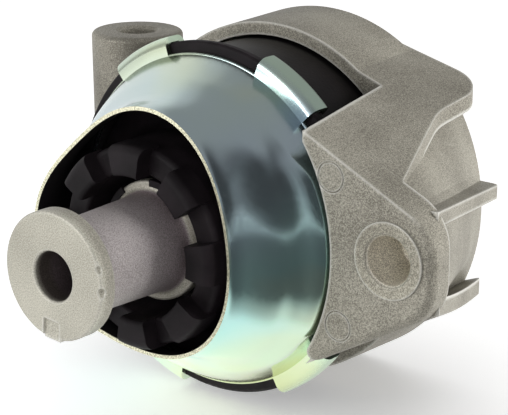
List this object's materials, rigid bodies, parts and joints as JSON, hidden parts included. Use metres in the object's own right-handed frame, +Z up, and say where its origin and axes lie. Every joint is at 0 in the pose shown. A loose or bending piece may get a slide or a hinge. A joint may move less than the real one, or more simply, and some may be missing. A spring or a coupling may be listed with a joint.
{
  "type": "engine mount",
  "caption": "Hydraulic engine mount: rubber and fluid cartridge under a crimped sheet cover, in a cast aluminium bracket with a bolt flange and an upright boss.",
  "frame": {"origin": "centre of the threaded hole at the front face of the core's head", "axes": "+Y along the mount's own axis, into the part; +Z up; +X towards the bolt flange"},
  "size_m": [0.1487, 0.1115, 0.1002],
  "materials": {
    "cast_housing": "rough cast",
    "plated_cover": "passivated zinc plate",
    "cast_core": "rough cast",
    "spring_rubber": "matt",
    "ring_steel": "plain",
    "black_case": "black coated",
    "plate_aluminium": "plain",
    "disc_rubber": "matt"
  },
  "bodies": {
    "root": {"housing": "cast_housing", "cover": "plated_cover", "core": "cast_core", "main_spring": "spring_rubber", "spring_ring": "ring_steel", "case": "black_case", "upper_channel_plate": "plate_aluminium", "lower_channel_plate": "plate_aluminium", "decoupler": "disc_rubber", "bellows": "disc_rubber", "clamp_ring": "ring_steel"}
  },
  "joints": []
}
